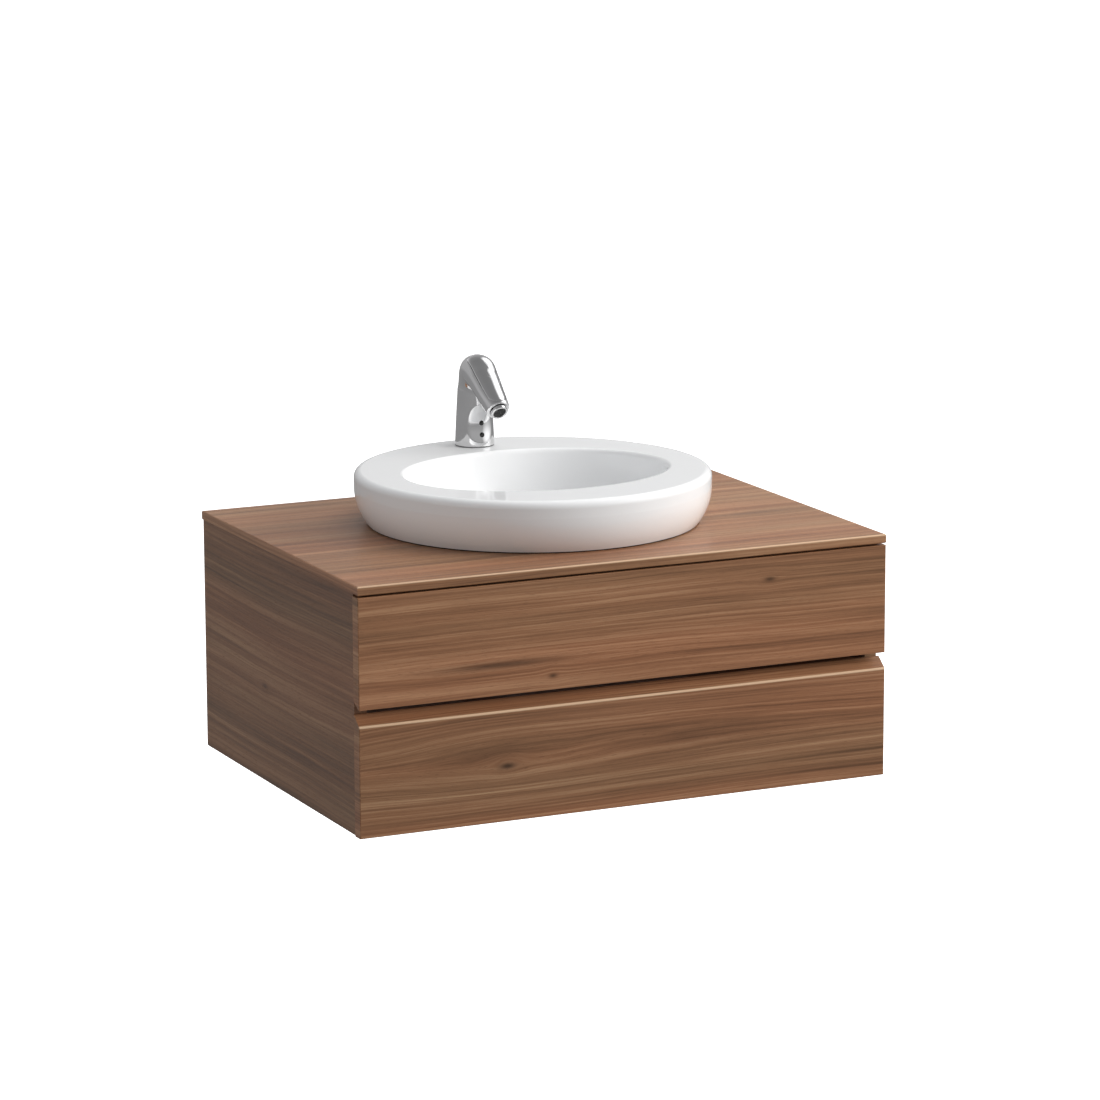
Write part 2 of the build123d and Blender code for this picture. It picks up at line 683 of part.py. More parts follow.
def tap_form(inset):
    """The tap's outer form, drawn in by an inset: a column with a dome, and a sloping spout."""
    radius = tap_radius - inset
    shoulder = rim_level + tap_top - dome_height
    crown = rim_level + tap_top - inset
    rise = crown - shoulder
    with BuildPart() as form:
        with BuildSketch(Plane(origin=(0, tap_y, 0), x_dir=(1, 0, 0), z_dir=(0, -1, 0))):
            with BuildLine():
                Line((0, tap_base), (radius, tap_base))
                Line((radius, tap_base), (radius - column_taper, shoulder))
                Bezier(
                    (radius - column_taper, shoulder),
                    (radius - 2 * column_taper, shoulder + 0.56 * rise),
                    (radius * 0.56, crown),
                    (0, crown),
                )
                Line((0, crown), (0, tap_base))
            make_face()
        revolve(axis=Axis((0, tap_y, 0), (0, 0, 1)))
        with BuildSketch(leaning_plane(*spout_root)) as root:
            Ellipse(*(half - inset for half in spout_root_radii))
        with BuildSketch(leaning_plane(*spout_waist)) as waist:
            Ellipse(*(half - inset for half in spout_waist_radii))
        with BuildSketch(tip_plane) as tip:
            Circle(spout_tip_radius - inset)
        loft([root.sketch, waist.sketch, tip.sketch])
    return form.part


slope_normal = (0, -sin(radians(slope_tilt)), cos(radians(slope_tilt)))
slope_plane = Plane(origin=tap_point(44, 80), x_dir=(1, 0, 0), z_dir=slope_normal)


def cover_prism(play):
    """The teardrop outline of the spout's cover, as a prism square to the slope."""
    with BuildPart() as prism:
        with BuildSketch(slope_plane):
            with Locations((0, 24.0)):
                Circle(cover_top_radius - play)
            with Locations((0, -32.0)):
                Circle(cover_tip_radius - play)
            make_hull()
        extrude(amount=60)
    return prism.part


tap_outer = tap_form(0.0)
tap_core = tap_form(cover_thickness)
cover_pocket = cover_prism(0.0) - tap_core
cover_blank = tap_outer & (cover_prism(cover_play) - tap_form(cover_thickness - cover_bed))

aerator_seat = tip_plane.offset(-aerator_depth)
facet_plane = Plane(origin=tap_point(facet_reach, facet_level), x_dir=(1, 0, 0), z_dir=(0, -1, 0))

with BuildPart() as tap_body:
    add(tap_outer)
    add(cover_pocket, mode=Mode.SUBTRACT)
    rod((0, tap_y, tap_base), (0, 0, 1), tap_bore, 60.0, Mode.SUBTRACT)
    rod(tap_point(4.0, 50.0), (0, 0, 1), 8.0, 48.0, Mode.SUBTRACT)
    with BuildSketch(tip_plane) as waterway:
        Circle(7.5)
    extrude(waterway.sketch, amount=-72, mode=Mode.SUBTRACT)
    with BuildSketch(tip_plane) as seat_section:
        Circle(aerator_radius + 0.1)
    extrude(seat_section.sketch, amount=-aerator_depth, mode=Mode.SUBTRACT)
    with BuildSketch(facet_plane) as facet:
        Ellipse(*facet_radii)
    extrude(facet.sketch, amount=20, mode=Mode.SUBTRACT)
    for height in window_levels:
        rod(tap_point(30, height), (0, 1, 0), window_radius + 0.05, 25.0, Mode.SUBTRACT)
save(tap_body, "tap_body")

with BuildPart() as tap_cover:
    add(cover_blank)
save(tap_cover, "tap_cover")

with BuildPart() as aerator:
    with BuildSketch(aerator_seat) as collar:
        Circle(aerator_radius)
        Circle(aerator_bore, mode=Mode.SUBTRACT)
    extrude(collar.sketch, amount=aerator_depth + aerator_stand)
    chamfer(aerator.faces().sort_by(Axis(tip_plane.origin, tip_plane.z_dir))[-1].edges(), 0.5)
save(aerator, "aerator")

with BuildPart() as aerator_insert:
    with BuildSketch(aerator_seat.offset(3.0)) as disc:
        Circle(aerator_bore - 0.05)
        Circle(0.8, mode=Mode.SUBTRACT)
        with PolarLocations(3.2, 6):
            Circle(0.8, mode=Mode.SUBTRACT)
        with PolarLocations(6.0, 12):
            Circle(0.8, mode=Mode.SUBTRACT)
    extrude(disc.sketch, amount=5.0 + aerator_stand - 0.4)
save(aerator_insert, "aerator_insert")

window_length = 7.5
module_front = facet_reach - window_length
with BuildPart() as sensor_windows:
    for height in window_levels:
        rod(tap_point(facet_reach, height), (0, 1, 0), window_radius, window_length)
save(sensor_windows, "sensor_windows")

with BuildPart() as sensor_module:
    y_span = (tap_y - module_front, tap_y - module_front + 8.0)
    z_span = (rim_level + window_levels[0] - 7.0, rim_level + window_levels[1] + 7.0)
    block((-8.5, 8.5), y_span, z_span)
save(sensor_module, "sensor_module")

with BuildPart() as tap_gasket:
    outer = tap_radius - 0.5
    inner = tap_hole_radius + 0.5
    spin([(inner, rim_level), (outer, rim_level), (outer, tap_base), (inner, tap_base)], tap_y)
save(tap_gasket, "tap_gasket")

stud_end = deck_underside - stud_tail
stud_top = tap_base + 0.5 + stud_head
with BuildPart() as tap_stud:
    rod((0, tap_y, stud_end), (0, 0, 1), stud_radius, stud_top - stud_end)
    rod((0, tap_y, stud_top), (0, 0, -1), tap_bore - 0.05, stud_head)
    rod((0, tap_y, stud_end), (0, 0, 1), hose_thread_radius, hose_thread_length, Mode.SUBTRACT)
    rod((0, tap_y, stud_end + hose_thread_length), (0, 0, 1), stud_passage_radius, stud_top - stud_end, Mode.SUBTRACT)
save(tap_stud, "tap_stud")

with BuildPart() as tap_nut:
    rod((0, tap_y, deck_underside), (0, 0, -1), tap_hole_radius + 6.5, 3.0)
    with BuildSketch(Plane.XY.offset(deck_underside - 12.0)) as hexagon:
        with Locations((0, tap_y)):
            RegularPolygon(stud_radius + 7.0, 6)
    extrude(hexagon.sketch, amount=10.0)
    rod((0, tap_y, deck_underside + 1), (0, 0, -1), stud_radius + 0.05, 20.0, Mode.SUBTRACT)
save(tap_nut, "tap_nut")

unit_width = 52.0
unit_front = box_back + 16.0
unit_depth = 50.0
unit_levels = (110.0, 205.0)
inlet_radius = 10.5
inlet_length = 16.0
hose_nipple_radius = 8.2
with BuildPart() as tap_control_unit:
    block((-side_inner, -side_inner + unit_width), (unit_front, unit_front + unit_depth), unit_levels)
    fillet(tap_control_unit.edges().filter_by(Axis.Z).group_by(Axis.X)[-1], 6.0)
    unit_x = -side_inner + unit_width / 2
    unit_y = unit_front + unit_depth / 2
    rod((unit_x, unit_y, unit_levels[0]), (0, 0, -1), inlet_radius, inlet_length)
    rod((unit_x, unit_y, unit_levels[0] - inlet_length), (0, 0, 1), inlet_radius - 3.0, 24.0, Mode.SUBTRACT)
    rod((unit_x, unit_y, unit_levels[1]), (0, 0, 1), hose_nipple_radius, 12.0)
    rod((unit_x, unit_y, unit_levels[1] - 10.0), (0, 0, 1), hose_nipple_radius - 3.0, 24.0, Mode.SUBTRACT)
save(tap_control_unit, "tap_control_unit")
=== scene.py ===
import json
from math import cos, pi, radians, sin, sqrt

import bmesh
import bpy
import numpy as np
from mathutils import Matrix, Vector


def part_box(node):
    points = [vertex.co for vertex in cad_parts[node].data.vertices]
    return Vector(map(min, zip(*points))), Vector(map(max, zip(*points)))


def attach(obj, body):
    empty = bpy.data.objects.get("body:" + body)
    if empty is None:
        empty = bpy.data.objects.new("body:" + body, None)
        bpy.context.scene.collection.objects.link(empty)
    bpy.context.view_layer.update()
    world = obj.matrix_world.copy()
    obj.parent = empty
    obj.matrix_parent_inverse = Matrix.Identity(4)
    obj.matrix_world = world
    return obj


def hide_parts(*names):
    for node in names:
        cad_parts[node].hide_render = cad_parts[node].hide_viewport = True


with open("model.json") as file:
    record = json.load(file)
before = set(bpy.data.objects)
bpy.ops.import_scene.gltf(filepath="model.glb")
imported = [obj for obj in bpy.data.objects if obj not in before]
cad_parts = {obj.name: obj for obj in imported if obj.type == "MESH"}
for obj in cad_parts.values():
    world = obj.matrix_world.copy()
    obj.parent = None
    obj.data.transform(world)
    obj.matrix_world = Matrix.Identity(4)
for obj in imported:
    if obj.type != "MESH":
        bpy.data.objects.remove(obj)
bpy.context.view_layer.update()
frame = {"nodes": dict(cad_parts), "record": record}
cadNodes = frame["nodes"]
slotOf = {row["node"]: row["material_slot"] for row in frame["record"]["subparts"]}
print("frame loaded:", len(cadNodes), "nodes")


# Node trees: put() adds a node, and each value is either a number or another node's output
def put(tree, kind, inputs=None, **settings):
    node = tree.nodes.new("ShaderNode" + kind)
    for key, value in settings.items():
        setattr(node, key, value)
    for key, value in (inputs or {}).items():
        if isinstance(value, bpy.types.NodeSocket):
            tree.links.new(value, node.inputs[key])
        else:
            node.inputs[key].default_value = value
    return node


def maths(tree, operation, first, second=0.0, third=0.0):
    node = put(tree, "Math", {0: first, 1: second, 2: third}, operation=operation)
    return node.outputs[0]


def blendColours(tree, share, first, second, mode="MIX"):
    node = tree.nodes.new("ShaderNodeMix")
    node.data_type = "RGBA"
    node.blend_type = mode
    for key, value in ((0, share), (6, first), (7, second)):
        if isinstance(value, bpy.types.NodeSocket):
            tree.links.new(value, node.inputs[key])
        else:
            node.inputs[key].default_value = value if key == 0 else (*value, 1.0)
    return node.outputs[2]


def spread(tree, value, low, high, newLow=0.0, newHigh=1.0):
    node = put(tree, "MapRange", {0: value, 1: low, 2: high, 3: newLow, 4: newHigh})
    return node.outputs[0]


def ramp(tree, value, stops):
    node = put(tree, "ValToRGB", {0: value})
    while len(node.color_ramp.elements) < len(stops):
        node.color_ramp.elements.new(0.5)
    for element, (place, colour) in zip(node.color_ramp.elements, stops):
        element.position = place
        element.color = (*colour, 1.0)
    return node.outputs[0]


def noise(tree, where, scale, detail=3.0, roughness=0.5):
    values = {"Vector": where, "Scale": scale, "Detail": detail, "Roughness": roughness}
    return put(tree, "TexNoise", values).outputs[0]


def startMaterial(name, colour, roughness, metallic=0.0, **constants):
    material = bpy.data.materials.new(name)
    material.use_nodes = True
    tree = material.node_tree
    tree.nodes.clear()
    values = {"Base Color": (*colour, 1.0), "Roughness": roughness, "Metallic": metallic}
    shader = put(tree, "BsdfPrincipled", values)
    for key, value in constants.items():
        shader.inputs[key.replace("_", " ")].default_value = value
    output = put(tree, "OutputMaterial")
    tree.links.new(shader.outputs[0], output.inputs[0])
    where = put(tree, "TexCoord").outputs["Object"]
    return material, tree, shader, where


def stretched(tree, where, scales, shift=(0, 0, 0)):
    node = put(tree, "Mapping", {"Vector": where, "Scale": scales, "Location": shift})
    return node.outputs[0]


def setBump(tree, shader, height, strength, distance):
    node = put(tree, "Bump", {"Strength": strength, "Distance": distance, "Height": height})
    tree.links.new(node.outputs[0], shader.inputs["Normal"])


# Walnut veneer. Each panel is a leaf cut from its own place in the log
walnut = {
    "dark": (0.130, 0.060, 0.028),
    "brown": (0.310, 0.150, 0.075),
    "light": (0.520, 0.300, 0.170),
    "shadeStops": (0.05, 0.50, 0.98),  # where the three shades stand from dark to light
    "longWaver": 0.017,  # how far the grain wanders across the leaf, in metres
    "shortWaver": 0.0028,
    # how far each figure moves the shade, either way from the middle one
    "weights": {"bands": 1.05, "streaks": 1.15, "fibres": 0.50, "broad": 0.50},
    "rings": -0.10,  # and these only one way: below 0 is darker
    "paleLines": 0.18,
    "darkLines": -0.22,
    "casts": ((1.06, 0.97, 0.93), (0.96, 1.02, 1.02)),  # heartwood runs redder or yellower by bands
    "ringSpacing": 0.0065,
    "ringDrift": 0.04,
    "knotFade": (0.16, 0.10),  # the swell round a knot fades sooner with more, along and across
    "knotSwell": -0.55,
    "knotTone": 0.35,  # a knot's colour, as a share of the dark shade
    "knotMost": 0.9,
    "poreShade": 0.42,
    "roughness": 0.36,
    "unevenness": 0.16,
    "poreRoughness": 0.18,
    "poreDepth": 0.00012,
    "fibreRise": 0.35,  # over the pore's depth
}
# noise in the leaf: how often it repeats in a metre along the grain and across it, its detail,
# its roughness, and a shift that keeps two layers apart
figure = {
    "longWave": (1.9, 4.5, 1.0, 0.5, (0.0, 0.0, 0.0)),
    "shortWave": (9.0, 24.0, 2.0, 0.5, (0.0, 0.0, 0.0)),
    "drift": (1.3, 0.3, 1.0, 0.5, (0.0, 0.0, 0.0)),
    "bands": (0.8, 62.0, 3.0, 0.55, (0.0, 0.0, 0.0)),
    "streaks": (2.6, 330.0, 4.0, 0.62, (0.0, 0.0, 0.0)),
    "fibres": (22.0, 1500.0, 3.0, 0.6, (0.0, 0.0, 0.0)),
    "pores": (95.0, 1500.0, 2.0, 0.4, (0.0, 0.0, 0.0)),
    "paleLines": (1.2, 210.0, 1.0, 0.5, (5.0, 2.0, 0.0)),
    "darkLines": (1.1, 150.0, 2.0, 0.5, (9.0, 7.0, 0.0)),
    "broad": (1.5, 7.0, 2.0, 0.5, (3.0, 1.0, 0.0)),
    "cast": (0.7, 16.0, 2.0, 0.5, (0.0, 4.0, 0.0)),
}
# leaf: grain, direction across the face, place in the log, pith under the leaf, tone, and knots as
# (place along the grain, place across it, half length, half width, darkness)
leaves = {
    "countertop": ("X", "Y", 0.0, 0.9, 1.02, [(0.27, -0.06, 0.05, 0.012, 0.25)]),
    "upper_drawer_front": ("X", "Z", 1.3, 0.30, 1.0, [(-0.17, 0.192, 0.075, 0.0045, 0.75),
                                                     (-0.10, 0.172, 0.006, 0.003, 0.8),
                                                     (0.19, 0.262, 0.008, 0.003, 0.8)]),
    "lower_drawer_front": ("X", "Z", 4.9, 0.12, 0.93, [(-0.160, 0.068, 0.011, 0.004, 0.9),
                                                      (-0.185, 0.085, 0.060, 0.013, 0.3),
                                                      (0.08, 0.080, 0.10, 0.012, 0.25)]),
    "side_panel_left": ("Y", "Z", 7.7, 0.5, 0.74, [(0.05, 0.12, 0.008, 0.003, 0.5)]),
    "side_panel_right": ("Y", "Z", 9.1, 0.4, 0.80, []),
    "grip_rail": ("X", "Z", 12.4, 0.60, 0.90, []),
    "bottom_panel": ("X", "Y", 15.0, 0.5, 0.9, []),
}
edgeSlope = 0.0125  # how far the lower front's top edge slopes up behind its face
# a painted highlight along the front arris of the countertop and of the lower front: its width, its
# strength, its paler colour, the fronts' place and each arris's level
arrisHighlight = {
    "width": 0.0011,
    "share": 0.75,
    "colour": (0.78, 0.55, 0.36),
    "front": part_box("lower_drawer_front")[0][1],
    "levels": {"countertop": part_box("countertop")[1][2],
               "lower_drawer_front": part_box("lower_drawer_front")[1][2] - edgeSlope},
}


def leafNoise(tree, leaf, name):
    run, width, detail, roughness, shift = figure[name]
    return noise(tree, stretched(tree, leaf, (run, width, 1.0), shift), 1.0, detail, roughness)


# A face's place in its leaf: along the grain and across it. On the two end edges of a panel the
# banding's grain runs along the edge
def placeInLeaf(tree, parts, grain, across, start):
    through = ({"X", "Y", "Z"} - {grain, across}).pop()
    endRun = {"X": "Y", "Y": "X"}[grain]
    endAcross = ({"X", "Y", "Z"} - {grain, endRun}).pop()
    normal = put(tree, "TexCoord").outputs["Normal"]
    facing = put(tree, "SeparateXYZ", {0: normal}).outputs[grain]
    endEdge = maths(tree, "GREATER_THAN", maths(tree, "ABSOLUTE", facing), 0.5)
    turnAlong = maths(tree, "SUBTRACT", parts[endRun], parts[grain])
    along = maths(tree, "MULTIPLY_ADD", endEdge, turnAlong, parts[grain])
    side = maths(tree, "ADD", parts[across], parts[through])  # a face's grain runs on over its edge
    turnSide = maths(tree, "SUBTRACT", parts[endAcross], side)
    return maths(tree, "ADD", along, start), maths(tree, "MULTIPLY_ADD", endEdge, turnSide, side)


# The grain flows round each knot, and the knot's middle is dark
def addKnots(tree, parts, grain, across, knots, wander):
    shade = 0.0
    runFade, sideFade = walnut["knotFade"]
    for knotAlong, knotAcross, halfLength, halfWidth, darkness in knots:
        runOff = maths(tree, "SUBTRACT", parts[grain], knotAlong)
        sideOff = maths(tree, "SUBTRACT", parts[across], knotAcross)
        runShare = maths(tree, "POWER", maths(tree, "DIVIDE", runOff, halfLength), 2.0)
        sideShare = maths(tree, "POWER", maths(tree, "DIVIDE", sideOff, halfWidth), 2.0)
        core = maths(tree, "MULTIPLY", maths(tree, "ADD", runShare, sideShare), -1.0)
        sideShare = maths(tree, "MULTIPLY", sideShare, sideFade)
        wide = maths(tree, "MULTIPLY_ADD", runShare, runFade, sideShare)
        fade = maths(tree, "EXPONENT", maths(tree, "MULTIPLY", wide, -1.0))
        swell = maths(tree, "MULTIPLY", fade, sideOff)
        wander = maths(tree, "MULTIPLY_ADD", swell, walnut["knotSwell"], wander)
        shade = maths(tree, "MULTIPLY_ADD", maths(tree, "EXPONENT", core), darkness, shade)
    return shade, wander


# Growth rings, cut near their tangent: each one's late wood is dark and ends sharply
def lateWoodOf(tree, leaf, wander, pith):
    drift = walnut["ringDrift"]
    offset = maths(tree, "MULTIPLY_ADD", leafNoise(tree, leaf, "drift"), drift, pith - drift / 2)
    squares = maths(tree, "ADD", maths(tree, "POWER", wander, 2.0), maths(tree, "POWER", offset, 2.0))
    turn = maths(tree, "DIVIDE", maths(tree, "SQRT", squares), walnut["ringSpacing"])
    ring = maths(tree, "FRACT", turn)
    whole = maths(tree, "FLOOR", turn)
    ringDepth = put(tree, "TexWhiteNoise", {"W": whole}, noise_dimensions="1D").outputs[0]
    darkening = maths(tree, "POWER", spread(tree, ring, 0.3, 0.93), 2.0)
    lateWood = maths(tree, "MULTIPLY", darkening, ringDepth)
    return maths(tree, "MULTIPLY", lateWood, spread(tree, ring, 0.93, 1.0, 1.0, 0.0))


# A painted highlight: the front arris is painted a paler colour, standing in for light on its rounded edge
def paintArrisHighlight(tree, parts, level, colour):
    overFront = maths(tree, "POWER", maths(tree, "SUBTRACT", parts["Y"], arrisHighlight["front"]), 2.0)
    overLevel = maths(tree, "POWER", maths(tree, "SUBTRACT", parts["Z"], level), 2.0)
    away = maths(tree, "SQRT", maths(tree, "ADD", overFront, overLevel))
    paintedHighlight = spread(tree, away, arrisHighlight["width"], arrisHighlight["width"] * 2.0, arrisHighlight["share"], 0.0)
    return blendColours(tree, paintedHighlight, colour, arrisHighlight["colour"])


def makeWalnut(node, grain, across, start, pith, tone, knots):
    dark, brown, light = [tuple(tone * c for c in walnut[key]) for key in ("dark", "brown", "light")]
    material, tree, shader, where = startMaterial("walnut_" + node, brown, walnut["roughness"],
                                                  Specular_IOR_Level=0.4)
    parts = put(tree, "SeparateXYZ", {0: where}).outputs
    along, side = placeInLeaf(tree, parts, grain, across, start)
    leaf = put(tree, "CombineXYZ", {0: along, 1: side, 2: start}).outputs[0]

    # the grain wanders in long waves and closer ones
    longWave = maths(tree, "SUBTRACT", leafNoise(tree, leaf, "longWave"), 0.5)
    shortWave = maths(tree, "SUBTRACT", leafNoise(tree, leaf, "shortWave"), 0.5)
    wander = maths(tree, "MULTIPLY_ADD", longWave, walnut["longWaver"], side)
    wander = maths(tree, "MULTIPLY_ADD", shortWave, walnut["shortWaver"], wander)
    knotShade, wander = addKnots(tree, parts, grain, across, knots, wander)
    lateWood = lateWoodOf(tree, leaf, wander, pith)

    grainLeaf = put(tree, "CombineXYZ", {0: along, 1: wander, 2: start}).outputs[0]
    layers = {name: leafNoise(tree, grainLeaf, name) for name in ("bands", "streaks", "fibres")}
    layers["broad"] = leafNoise(tree, leaf, "broad")
    pores = spread(tree, leafNoise(tree, grainLeaf, "pores"), 0.60, 0.74)
    paleLines = spread(tree, leafNoise(tree, grainLeaf, "paleLines"), 0.66, 0.76)
    darkLines = spread(tree, leafNoise(tree, grainLeaf, "darkLines"), 0.64, 0.76)

    depth = 0.5
    for name, weight in walnut["weights"].items():
        depth = maths(tree, "MULTIPLY_ADD", maths(tree, "SUBTRACT", layers[name], 0.5), weight, depth)
    for layer, name in ((lateWood, "rings"), (paleLines, "paleLines"), (darkLines, "darkLines")):
        depth = maths(tree, "MULTIPLY_ADD", layer, walnut[name], depth)
    colour = ramp(tree, depth, list(zip(walnut["shadeStops"], (dark, brown, light))))
    colour = blendColours(tree, maths(tree, "MULTIPLY", pores, walnut["poreShade"]), colour, dark)
    if knots:
        knotColour = tuple(walnut["knotTone"] * c for c in dark)
        knotShade = maths(tree, "MINIMUM", knotShade, walnut["knotMost"])
        colour = blendColours(tree, knotShade, colour, knotColour)
    cast = spread(tree, leafNoise(tree, leaf, "cast"), 0.35, 0.65)
    colour = blendColours(tree, 1.0, colour, blendColours(tree, cast, *walnut["casts"]), "MULTIPLY")
    # the painted highlight along the front arris
    if node in arrisHighlight["levels"]:
        colour = paintArrisHighlight(tree, parts, arrisHighlight["levels"][node], colour)
    tree.links.new(colour, shader.inputs["Base Color"])

    # the pores are rough, and the fibres stand up a little
    unevenness = walnut["unevenness"]
    polish = maths(tree, "MULTIPLY_ADD", layers["streaks"], unevenness, walnut["roughness"] - unevenness / 2)
    polish = maths(tree, "MULTIPLY_ADD", pores, walnut["poreRoughness"], polish)
    tree.links.new(polish, shader.inputs["Roughness"])
    fibreRise = maths(tree, "MULTIPLY", layers["fibres"], walnut["fibreRise"])
    setBump(tree, shader, maths(tree, "MULTIPLY_ADD", pores, -1.0, fibreRise), 0.5, walnut["poreDepth"])
    return material


# The plainer finishes
def setColour(tree, shader, colour):
    tree.links.new(colour, shader.inputs["Base Color"])


def setRoughness(tree, shader, value, limits, roughness):
    tree.links.new(spread(tree, value, *limits, *roughness), shader.inputs["Roughness"])


glaze = {"whites": ((0.880, 0.888, 0.896), (0.900, 0.906, 0.910)), "roughness": (0.05, 0.10),
         "coat": 0.2, "coatRoughness": 0.03, "waves": 0.0004}  # waves: their height in metres
chrome = {"greys": ((0.76, 0.755, 0.75), (0.83, 0.83, 0.84)), "roughness": (0.035, 0.10)}


def makeGlaze(name):
    material, tree, shader, where = startMaterial(name, glaze["whites"][0], glaze["roughness"][1],
                                                  Coat_Weight=glaze["coat"],
                                                  Coat_Roughness=glaze["coatRoughness"])
    setColour(tree, shader, blendColours(tree, noise(tree, where, 9.0, 3.0), *glaze["whites"]))
    setRoughness(tree, shader, noise(tree, where, 40.0, 4.0), (0.3, 0.7), glaze["roughness"])
    setBump(tree, shader, noise(tree, where, 28.0, 2.0), 0.12, glaze["waves"])
    return material


def makeChrome(name):
    material, tree, shader, where = startMaterial(name, chrome["greys"][0], chrome["roughness"][1], 1.0)
    setColour(tree, shader, blendColours(tree, noise(tree, where, 25.0, 2.0), *chrome["greys"]))
    setRoughness(tree, shader, noise(tree, where, 60.0, 4.0), (0.3, 0.75), chrome["roughness"])
    setBump(tree, shader, noise(tree, where, 900.0, 2.0), 0.05, 0.00002)
    return material


def makeMetal(name, colour, roughness, spangle, lines):
    material, tree, shader, where = startMaterial(name, colour, roughness, 1.0)
    cells = put(tree, "TexVoronoi", {"Vector": where, "Scale": spangle}).outputs["Color"]
    flake = put(tree, "SeparateColor", {0: cells}).outputs[0]
    scratches = noise(tree, stretched(tree, where, (lines, 12.0, lines)), 1.0, 4.0)
    dark = tuple(0.78 * c for c in colour)
    share = spread(tree, flake, 0.0, 1.0, 0.0, 0.5)
    setColour(tree, shader, blendColours(tree, share, colour, dark))
    setRoughness(tree, shader, scratches, (0.3, 0.7), (roughness - 0.08, roughness + 0.1))
    setBump(tree, shader, scratches, 0.15, 0.00005)
    return material


def makePlastic(name, colour, roughness, grainScale, relief):
    material, tree, shader, where = startMaterial(name, colour, roughness)
    grains = noise(tree, where, grainScale, 3.0)
    light = tuple(min(1.0, 1.12 * c + 0.004) for c in colour)
    setColour(tree, shader, blendColours(tree, noise(tree, where, 14.0, 3.0), colour, light))
    setRoughness(tree, shader, grains, (0.3, 0.7), (roughness - 0.06, roughness + 0.08))
    setBump(tree, shader, grains, 0.3, relief)
    return material


def makeBoard(name, face, fleck, flecks):
    material, tree, shader, where = startMaterial(name, face, 0.5)
    place = stretched(tree, where, (1.0, 1.6, 1.3))
    chips = put(tree, "TexVoronoi", {"Vector": place, "Scale": flecks}).outputs["Color"]
    chip = put(tree, "SeparateColor", {0: chips}).outputs[0]
    fibre = noise(tree, stretched(tree, where, (40.0, 260.0, 260.0)), 1.0, 4.0)
    colour = blendColours(tree, spread(tree, chip, 0.2, 1.0, 0.0, 0.45), face, fleck)
    setColour(tree, shader, blendColours(tree, spread(tree, fibre, 0.4, 0.7, 0.0, 0.3), colour, fleck))
    setRoughness(tree, shader, fibre, (0.3, 0.7), (0.42, 0.6))
    setBump(tree, shader, fibre, 0.2, 0.00008)
    return material


finishes = {
    "white_ceramic": makeGlaze("whiteGlaze"),
    "polished_chrome": makeChrome("chromePlate"),
    # colour, roughness, spangles and scratches in a metre
    "runner_steel": makeMetal("zincSheet", (0.56, 0.57, 0.58), 0.36, 220.0, 700.0),
    "screw_steel": makeMetal("zincScrew", (0.58, 0.56, 0.48), 0.32, 600.0, 900.0),
    "brass": makeMetal("turnedBrass", (0.62, 0.44, 0.19), 0.30, 300.0, 1200.0),
    # colour, roughness, grains in a metre and their height
    "white_plastic": makePlastic("wastePlastic", (0.80, 0.80, 0.79), 0.28, 320.0, 0.00003),
    "black_plastic": makePlastic("blackPlastic", (0.012, 0.012, 0.012), 0.42, 900.0, 0.00005),
    "guard_plastic": makePlastic("guardPlastic", (0.30, 0.31, 0.32), 0.46, 700.0, 0.00005),
    "dark_window": makePlastic("sensorWindow", (0.004, 0.003, 0.003), 0.14, 500.0, 0.00001),
    "black_rubber": makePlastic("blackRubber", (0.018, 0.018, 0.018), 0.62, 1100.0, 0.00008),
    # colour, its flecks' colour, flecks in a metre
    "drawer_board": makeBoard("drawerBoard", (0.46, 0.455, 0.44), (0.36, 0.355, 0.34), 900.0),
    "carcass_board": makeBoard("carcassBoard", (0.47, 0.35, 0.22), (0.33, 0.23, 0.13), 420.0),
    "beech_dowel": makeBoard("beechWood", (0.58, 0.40, 0.24), (0.46, 0.29, 0.16), 260.0),
}
print("finishes made:", len(finishes))

for node, thing in cadNodes.items():
    material = makeWalnut(node, *leaves[node]) if node in leaves else finishes[slotOf[node]]
    thing.data.materials.clear()
    thing.data.materials.append(material)
print("finishes given to the cabinet, the drawers, the basin and the waste")


# Tap: one sweeping casting with a cover set into the top of its spout. Millimetres in its own
# frame: x, reach forward of the column's axis, height over the basin's deck
tap = {
    # each spine's rows: reach, height, radius, how much the top is flattened
    "column": [(0.0, -6.0, 25.5, 0.0), (0.0, 40.0, 23.3, 0.0), (0.0, 70.0, 21.6, 0.0)],
    "spout": [(0.0, 66.0, 21.6, 0.0), (1.5, 79.0, 20.9, 0.0), (8.8, 96.0, 21.9, 0.8),
              (28.0, 88.3, 20.0, 4.3), (51.0, 72.5, 17.6, 4.2), (74.0, 55.5, 14.8, 1.2)],
    "topRadius": 1.22,  # the flattened top's radius, over the section's own
    "topBlend": 0.8,
    "crotch": 5.5,  # fillet between the spout and the column
    # the windows' face is cut into the column's front: its least reach, the level of that, how
    # slowly it curves away across and upright, and how softly its edge turns
    "facet": {"reach": 21.4, "level": 36.0, "across": 60.0, "upright": 230.0, "lean": 0.9, "blend": 0.7},
    "tipTilt": 38.0,
    "tipRound": 2.4,
    "recess": [(12.1, 3.2), (10.9, 8.05)],  # radius and depth of the aerator's seat
    "slope": {"reach": 44.0, "height": 80.0, "tilt": 35.0},  # the plane the cover is drawn on
    "coverTop": (37.0, 16.8),  # place up the slope and radius of the cover's two ends
    "coverTip": (-23.5, 12.4),
    "coverGap": 0.75,
    "coverTopGap": 1.9,
    "coverDip": 0.5,  # its edge is turned down
    "coverRings": 26,
    "coverSpokes": 144,
    "pocketDepth": 2.2,
    "voxel": 1.0,
    "pulls": 14,  # times the voxel skin is pulled onto the real one
    "pullShare": 0.9,
    "relaxedAfter": (2, 5, 8),
    "windowLevels": (16.0, 31.0),
    "windowRadius": 3.0,
    "windowPlay": 0.2,
}
